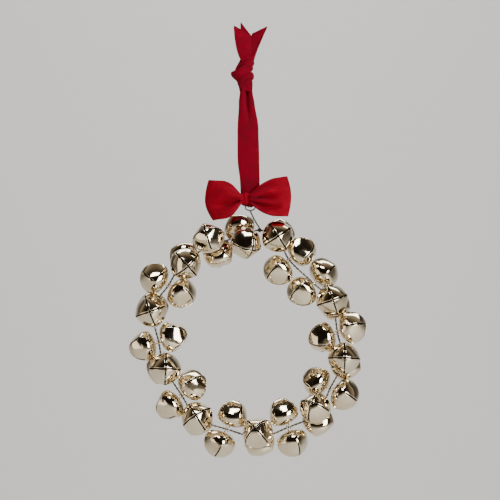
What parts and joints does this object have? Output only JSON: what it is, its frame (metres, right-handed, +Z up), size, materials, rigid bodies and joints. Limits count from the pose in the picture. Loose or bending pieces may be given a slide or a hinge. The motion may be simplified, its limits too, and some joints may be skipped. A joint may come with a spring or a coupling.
{
  "type": "bell wreath ornament",
  "caption": "Hanging wreath of pale gold jingle bells on a wire ring, hung by a twisted wire eye from a knotted red velvet ribbon with a velvet bow in front.",
  "frame": {"origin": "the hang point: inside the top of the ribbon loop, just under the knot", "axes": "+Z up, the front of the wreath faces -Y, +X to the right seen from the front"},
  "size_m": [0.1755, 0.0456, 0.3238],
  "materials": {
    "bell_metal": "polished pale champagne-gold plating on sheet metal, glossy, with fine handling marks",
    "dark_wire": "dull dark annealed wire",
    "pellet_steel": "plain tumbled steel",
    "ribbon_velvet": "soft crimson velvet ribbon",
    "bow_velvet": "soft red velvet ribbon, pleated into a bow"
  },
  "bodies": {
    "hanger": {"hanger_ribbon": "ribbon_velvet", "bow_ribbon": "bow_velvet", "bow_wrap": "bow_velvet"},
    "eye": {"hanging_eye": "dark_wire"},
    "wreath": {"core_wire": "dark_wire"},
    "bell_01_front_body": {"bell_01_front": "bell_metal"},
    "bell_01_back_body": {"bell_01_back": "bell_metal"},
    "bell_02_front_body": {"bell_02_front": "bell_metal"},
    "bell_02_back_body": {"bell_02_back": "bell_metal"},
    "bell_03_outer_body": {"bell_03_outer": "bell_metal"},
    "bell_03_inner_body": {"bell_03_inner": "bell_metal"},
    "bell_04_outer_body": {"bell_04_outer": "bell_metal"},
    "bell_04_inner_body": {"bell_04_inner": "bell_metal"},
    "bell_05_front_body": {"bell_05_front": "bell_metal"},
    "bell_05_back_body": {"bell_05_back": "bell_metal"},
    "bell_06_outer_body": {"bell_06_outer": "bell_metal"},
    "bell_06_inner_body": {"bell_06_inner": "bell_metal"},
    "bell_07_front_body": {"bell_07_front": "bell_metal"},
    "bell_07_back_body": {"bell_07_back": "bell_metal"},
    "bell_08_outer_body": {"bell_08_outer": "bell_metal"},
    "bell_08_inner_body": {"bell_08_inner": "bell_metal"},
    "bell_09_front_body": {"bell_09_front": "bell_metal"},
    "bell_09_back_body": {"bell_09_back": "bell_metal"},
    "bell_10_inner_body": {"bell_10_inner": "bell_metal"},
    "bell_10_outer_body": {"bell_10_outer": "bell_metal"},
    "bell_11_front_body": {"bell_11_front": "bell_metal"},
    "bell_11_back_body": {"bell_11_back": "bell_metal"},
    "bell_12_inner_body": {"bell_12_inner": "bell_metal"},
    "bell_12_outer_body": {"bell_12_outer": "bell_metal"},
    "bell_13_front_body": {"bell_13_front": "bell_metal"},
    "bell_13_back_body": {"bell_13_back": "bell_metal"},
    "bell_14_outer_body": {"bell_14_outer": "bell_metal"},
    "bell_14_inner_body": {"bell_14_inner": "bell_metal"},
    "bell_15_front_body": {"bell_15_front": "bell_metal"},
    "bell_15_back_body": {"bell_15_back": "bell_metal"},
    "bell_16_outer_body": {"bell_16_outer": "bell_metal"},
    "bell_16_inner_body": {"bell_16_inner": "bell_metal"},
    "bell_17_front_body": {"bell_17_front": "bell_metal"},
    "bell_17_back_body": {"bell_17_back": "bell_metal"},
    "bell_18_outer_body": {"bell_18_outer": "bell_metal"},
    "bell_18_inner_body": {"bell_18_inner": "bell_metal"},
    "bell_19_front_body": {"bell_19_front": "bell_metal"},
    "bell_19_back_body": {"bell_19_back": "bell_metal"},
    "bell_20_front_body": {"bell_20_front": "bell_metal"},
    "bell_20_back_body": {"bell_20_back": "bell_metal"},
    "pellet_01_body": {"pellet_01": "pellet_steel"},
    "pellet_02_body": {"pellet_02": "pellet_steel"},
    "pellet_05_body": {"pellet_05": "pellet_steel"},
    "pellet_07_body": {"pellet_07": "pellet_steel"},
    "pellet_09_body": {"pellet_09": "pellet_steel"},
    "pellet_11_body": {"pellet_11": "pellet_steel"},
    "pellet_13_body": {"pellet_13": "pellet_steel"},
    "pellet_15_body": {"pellet_15": "pellet_steel"},
    "pellet_17_body": {"pellet_17": "pellet_steel"},
    "pellet_19_body": {"pellet_19": "pellet_steel"},
    "pellet_20_body": {"pellet_20": "pellet_steel"}
  },
  "joints": [
    {"name": "eye_swing", "type": "hinge", "parent": "hanger", "child": "eye", "pos_m": [0.0013, 0, -0.0832], "axis": [0, 1, 0], "range_deg": [-3, 3]},
    {"name": "wreath_tilt", "type": "hinge", "parent": "eye", "child": "wreath", "pos_m": [0.00831, -0.0003, -0.10224], "axis": [1, 0, 0], "range_deg": [-8, 12]},
    {"name": "bell_01_front_swing", "type": "hinge", "parent": "wreath", "child": "bell_01_front_body", "pos_m": [-0.00523, 0.0005, -0.10648], "axis": [0.9489, -0.0085, 0.3154], "range_deg": [-6, 6]},
    {"name": "bell_01_back_swing", "type": "hinge", "parent": "wreath", "child": "bell_01_back_body", "pos_m": [-0.00523, 0.0005, -0.10648], "axis": [0.9489, -0.0085, 0.3154], "range_deg": [-6, 6]},
    {"name": "bell_02_front_swing", "type": "hinge", "parent": "wreath", "child": "bell_02_front_body", "pos_m": [0.02173, -0.001, -0.10795], "axis": [0.7043, 0.0257, -0.7095], "range_deg": [-6, 5]},
    {"name": "bell_02_back_swing", "type": "hinge", "parent": "wreath", "child": "bell_02_back_body", "pos_m": [0.02173, -0.001, -0.10795], "axis": [0.7043, 0.0257, -0.7095], "range_deg": [-6, 6]},
    {"name": "bell_03_outer_swing", "type": "hinge", "parent": "wreath", "child": "bell_03_outer_body", "pos_m": [0.03028, 0.0005, -0.12435], "axis": [0.6182, 0.0474, -0.7846], "range_deg": [-6, 3]},
    {"name": "bell_03_inner_swing", "type": "hinge", "parent": "wreath", "child": "bell_03_inner_body", "pos_m": [0.03028, 0.0005, -0.12435], "axis": [0.6182, 0.0474, -0.7846], "range_deg": [-6, 6]},
    {"name": "bell_04_outer_swing", "type": "hinge", "parent": "wreath", "child": "bell_04_outer_body", "pos_m": [0.04788, 0.001, -0.14113], "axis": [0.714, -0.0342, -0.6993], "range_deg": [-6, 6]},
    {"name": "bell_04_inner_swing", "type": "hinge", "parent": "wreath", "child": "bell_04_inner_body", "pos_m": [0.04788, 0.001, -0.14113], "axis": [0.714, -0.0342, -0.6993], "range_deg": [-6, 6]},
    {"name": "bell_05_front_swing", "type": "hinge", "parent": "wreath", "child": "bell_05_front_body", "pos_m": [0.06167, -0.001, -0.15512], "axis": [0.4407, 0, -0.8976], "range_deg": [-6, 6]},
    {"name": "bell_05_back_swing", "type": "hinge", "parent": "wreath", "child": "bell_05_back_body", "pos_m": [0.06167, -0.001, -0.15512], "axis": [0.4407, 0, -0.8976], "range_deg": [-6, 5]},
    {"name": "bell_06_outer_swing", "type": "hinge", "parent": "wreath", "child": "bell_06_outer_body", "pos_m": [0.06591, 0.001, -0.17785], "axis": [0.1846, 0, -0.9828], "range_deg": [-2, 6]},
    {"name": "bell_06_inner_swing", "type": "hinge", "parent": "wreath", "child": "bell_06_inner_body", "pos_m": [0.06591, 0.001, -0.17785], "axis": [0.1846, 0, -0.9828], "range_deg": [-6, 6]},
    {"name": "bell_07_front_swing", "type": "hinge", "parent": "wreath", "child": "bell_07_front_body", "pos_m": [0.06986, -0.001, -0.19872], "axis": [-0.1265, 0.012, -0.9919], "range_deg": [-6, 6]},
    {"name": "bell_07_back_swing", "type": "hinge", "parent": "wreath", "child": "bell_07_back_body", "pos_m": [0.06986, -0.001, -0.19872], "axis": [-0.1265, 0.012, -0.9919], "range_deg": [-6, 6]},
    {"name": "bell_08_outer_swing", "type": "hinge", "parent": "wreath", "child": "bell_08_outer_body", "pos_m": [0.06064, 0.0015, -0.21919], "axis": [-0.4375, -0.0115, -0.8992], "range_deg": [-4, 6]},
    {"name": "bell_08_inner_swing", "type": "hinge", "parent": "wreath", "child": "bell_08_inner_body", "pos_m": [0.06064, 0.0015, -0.21919], "axis": [-0.4375, -0.0115, -0.8992], "range_deg": [-5, 6]},
    {"name": "bell_09_front_swing", "type": "hinge", "parent": "wreath", "child": "bell_09_front_body", "pos_m": [0.05085, -0.0015, -0.23778], "axis": [-0.7315, -0.0355, -0.6809], "range_deg": [-6, 4]},
    {"name": "bell_09_back_swing", "type": "hinge", "parent": "wreath", "child": "bell_09_back_body", "pos_m": [0.05085, -0.0015, -0.23778], "axis": [-0.7315, -0.0355, -0.6809], "range_deg": [-6, 6]},
    {"name": "bell_10_inner_swing", "type": "hinge", "parent": "wreath", "child": "bell_10_inner_body", "pos_m": [0.02969, 0, -0.24799], "axis": [-0.9255, 0.0108, -0.3785], "range_deg": [-6, 6]},
    {"name": "bell_10_outer_swing", "type": "hinge", "parent": "wreath", "child": "bell_10_outer_body", "pos_m": [0.02969, 0, -0.24799], "axis": [-0.9255, 0.0108, -0.3785], "range_deg": [-6, 6]},
    {"name": "bell_11_front_swing", "type": "hinge", "parent": "wreath", "child": "bell_11_front_body", "pos_m": [0.00779, -0.001, -0.25539], "axis": [-0.9994, 0, -0.0334], "range_deg": [-6, 2]},
    {"name": "bell_11_back_swing", "type": "hinge", "parent": "wreath", "child": "bell_11_back_body", "pos_m": [0.00779, -0.001, -0.25539], "axis": [-0.9994, 0, -0.0334], "range_deg": [-6, 6]},
    {"name": "bell_12_inner_swing", "type": "hinge", "parent": "wreath", "child": "bell_12_inner_body", "pos_m": [-0.01575, 0, -0.24951], "axis": [-0.9563, 0, 0.2923], "range_deg": [-3, 6]},
    {"name": "bell_12_outer_swing", "type": "hinge", "parent": "wreath", "child": "bell_12_outer_body", "pos_m": [-0.01575, 0, -0.24951], "axis": [-0.9563, 0, 0.2923], "range_deg": [-6, 6]},
    {"name": "bell_13_front_swing", "type": "hinge", "parent": "wreath", "child": "bell_13_front_body", "pos_m": [-0.03762, -0.001, -0.24151], "axis": [-0.8003, 0, 0.5995], "range_deg": [-6, 6]},
    {"name": "bell_13_back_swing", "type": "hinge", "parent": "wreath", "child": "bell_13_back_body", "pos_m": [-0.03762, -0.001, -0.24151], "axis": [-0.8003, 0, 0.5995], "range_deg": [-6, 6]},
    {"name": "bell_14_outer_swing", "type": "hinge", "parent": "wreath", "child": "bell_14_outer_body", "pos_m": [-0.04943, 0, -0.22427], "axis": [-0.5438, 0, 0.8392], "range_deg": [-6, 6]},
    {"name": "bell_14_inner_swing", "type": "hinge", "parent": "wreath", "child": "bell_14_inner_body", "pos_m": [-0.04943, 0, -0.22427], "axis": [-0.5438, 0, 0.8392], "range_deg": [-6, 6]},
    {"name": "bell_15_front_swing", "type": "hinge", "parent": "wreath", "child": "bell_15_front_body", "pos_m": [-0.06202, -0.001, -0.20387], "axis": [-0.3949, 0, 0.9187], "range_deg": [-6, 6]},
    {"name": "bell_15_back_swing", "type": "hinge", "parent": "wreath", "child": "bell_15_back_body", "pos_m": [-0.06202, -0.001, -0.20387], "axis": [-0.3949, 0, 0.9187], "range_deg": [-6, 6]},
    {"name": "bell_16_outer_swing", "type": "hinge", "parent": "wreath", "child": "bell_16_outer_body", "pos_m": [-0.06641, 0, -0.18478], "axis": [-0.1977, 0, 0.9803], "range_deg": [-6, 6]},
    {"name": "bell_16_inner_swing", "type": "hinge", "parent": "wreath", "child": "bell_16_inner_body", "pos_m": [-0.06641, 0, -0.18478], "axis": [-0.1977, 0, 0.9803], "range_deg": [-6, 6]},
    {"name": "bell_17_front_swing", "type": "hinge", "parent": "wreath", "child": "bell_17_front_body", "pos_m": [-0.07065, -0.001, -0.16104], "axis": [0.1713, 0.0235, 0.9849], "range_deg": [-6, 6]},
    {"name": "bell_17_back_swing", "type": "hinge", "parent": "wreath", "child": "bell_17_back_body", "pos_m": [-0.07065, -0.001, -0.16104], "axis": [0.1713, 0.0235, 0.9849], "range_deg": [-6, 6]},
    {"name": "bell_18_outer_swing", "type": "hinge", "parent": "wreath", "child": "bell_18_outer_body", "pos_m": [-0.05913, 0.001, -0.1429], "axis": [0.5446, 0.0233, 0.8384], "range_deg": [-6, 6]},
    {"name": "bell_18_inner_swing", "type": "hinge", "parent": "wreath", "child": "bell_18_inner_body", "pos_m": [-0.05913, 0.001, -0.1429], "axis": [0.5446, 0.0233, 0.8384], "range_deg": [-6, 6]},
    {"name": "bell_19_front_swing", "type": "hinge", "parent": "wreath", "child": "bell_19_front_body", "pos_m": [-0.04725, 0, -0.125], "axis": [0.7491, -0.0227, 0.662], "range_deg": [-6, 6]},
    {"name": "bell_19_back_swing", "type": "hinge", "parent": "wreath", "child": "bell_19_back_body", "pos_m": [-0.04725, 0, -0.125], "axis": [0.7491, -0.0227, 0.662], "range_deg": [-6, 6]},
    {"name": "bell_20_front_swing", "type": "hinge", "parent": "wreath", "child": "bell_20_front_body", "pos_m": [-0.02598, 0, -0.11361], "axis": [0.9151, 0.0109, 0.403], "range_deg": [-6, 6]},
    {"name": "bell_20_back_swing", "type": "hinge", "parent": "wreath", "child": "bell_20_back_body", "pos_m": [-0.02598, 0, -0.11361], "axis": [0.9151, 0.0109, 0.403], "range_deg": [-6, 6]},
    {"name": "pellet_01_roll", "type": "slide", "parent": "bell_01_front_body", "child": "pellet_01_body", "axis": [0, 0, 1], "range_m": [-0.0001, 0.012]},
    {"name": "pellet_02_roll", "type": "slide", "parent": "bell_02_front_body", "child": "pellet_02_body", "axis": [0, 0, 1], "range_m": [-0.0001, 0.012]},
    {"name": "pellet_05_roll", "type": "slide", "parent": "bell_05_front_body", "child": "pellet_05_body", "axis": [0, 0, 1], "range_m": [-0.0001, 0.012]},
    {"name": "pellet_07_roll", "type": "slide", "parent": "bell_07_front_body", "child": "pellet_07_body", "axis": [0, 0, 1], "range_m": [-0.0001, 0.012]},
    {"name": "pellet_09_roll", "type": "slide", "parent": "bell_09_front_body", "child": "pellet_09_body", "axis": [0, 0, 1], "range_m": [-0.0001, 0.012]},
    {"name": "pellet_11_roll", "type": "slide", "parent": "bell_11_front_body", "child": "pellet_11_body", "axis": [0, 0, 1], "range_m": [-0.0001, 0.012]},
    {"name": "pellet_13_roll", "type": "slide", "parent": "bell_13_front_body", "child": "pellet_13_body", "axis": [0, 0, 1], "range_m": [-0.0001, 0.012]},
    {"name": "pellet_15_roll", "type": "slide", "parent": "bell_15_front_body", "child": "pellet_15_body", "axis": [0, 0, 1], "range_m": [-0.0001, 0.012]},
    {"name": "pellet_17_roll", "type": "slide", "parent": "bell_17_front_body", "child": "pellet_17_body", "axis": [0, 0, 1], "range_m": [-0.0001, 0.012]},
    {"name": "pellet_19_roll", "type": "slide", "parent": "bell_19_front_body", "child": "pellet_19_body", "axis": [0, 0, 1], "range_m": [-0.0001, 0.012]},
    {"name": "pellet_20_roll", "type": "slide", "parent": "bell_20_front_body", "child": "pellet_20_body", "axis": [0, 0, 1], "range_m": [-0.0001, 0.012]}
  ]
}
